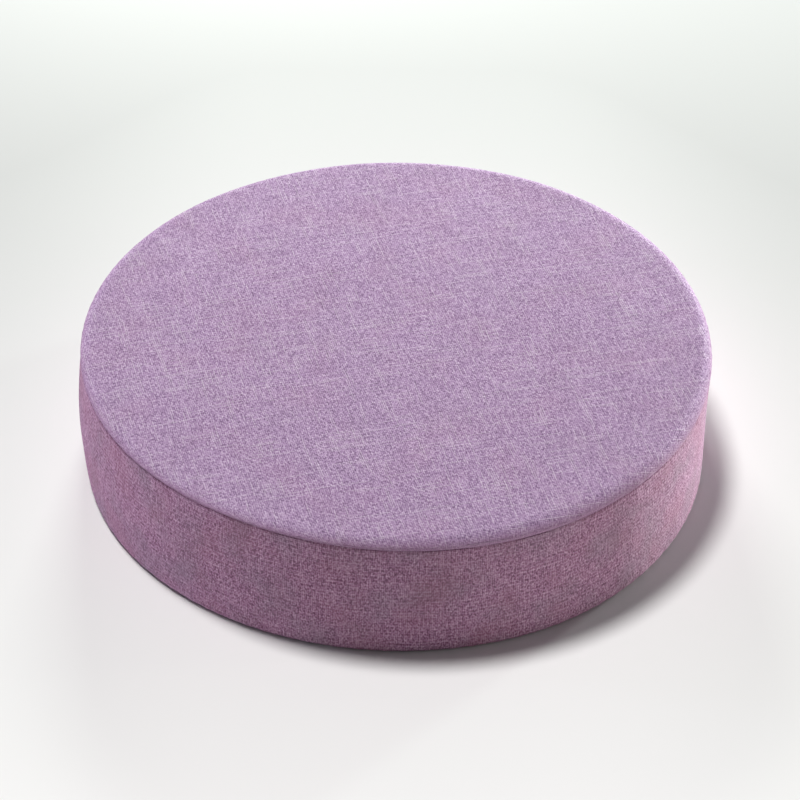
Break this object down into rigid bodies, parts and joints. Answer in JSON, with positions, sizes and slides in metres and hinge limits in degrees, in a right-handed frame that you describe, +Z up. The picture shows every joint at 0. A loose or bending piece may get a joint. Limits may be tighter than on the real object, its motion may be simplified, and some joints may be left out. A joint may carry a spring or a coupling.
{
  "type": "zafu meditation cushion",
  "caption": "Firm round box cushion for sitting meditation: a crowned round top panel, a straight side band and a flat base panel in lilac linen-look cloth.",
  "frame": {"origin": "middle of the flat base, where the cushion rests", "axes": "+Z up out of the top panel, along the cushion's round axis; -Y towards the front; +X to the right"},
  "size_m": [0.4525, 0.4531, 0.1],
  "materials": {
    "top_cloth": "matt linen-look weave in lilac with lighter slubs both ways",
    "band_cloth": "the same cloth on the side, where it looks mauve",
    "base_cloth": "the same cloth underneath"
  },
  "bodies": {
    "root": {"top_panel": "top_cloth", "side_band": "band_cloth", "base_panel": "base_cloth"}
  },
  "joints": []
}
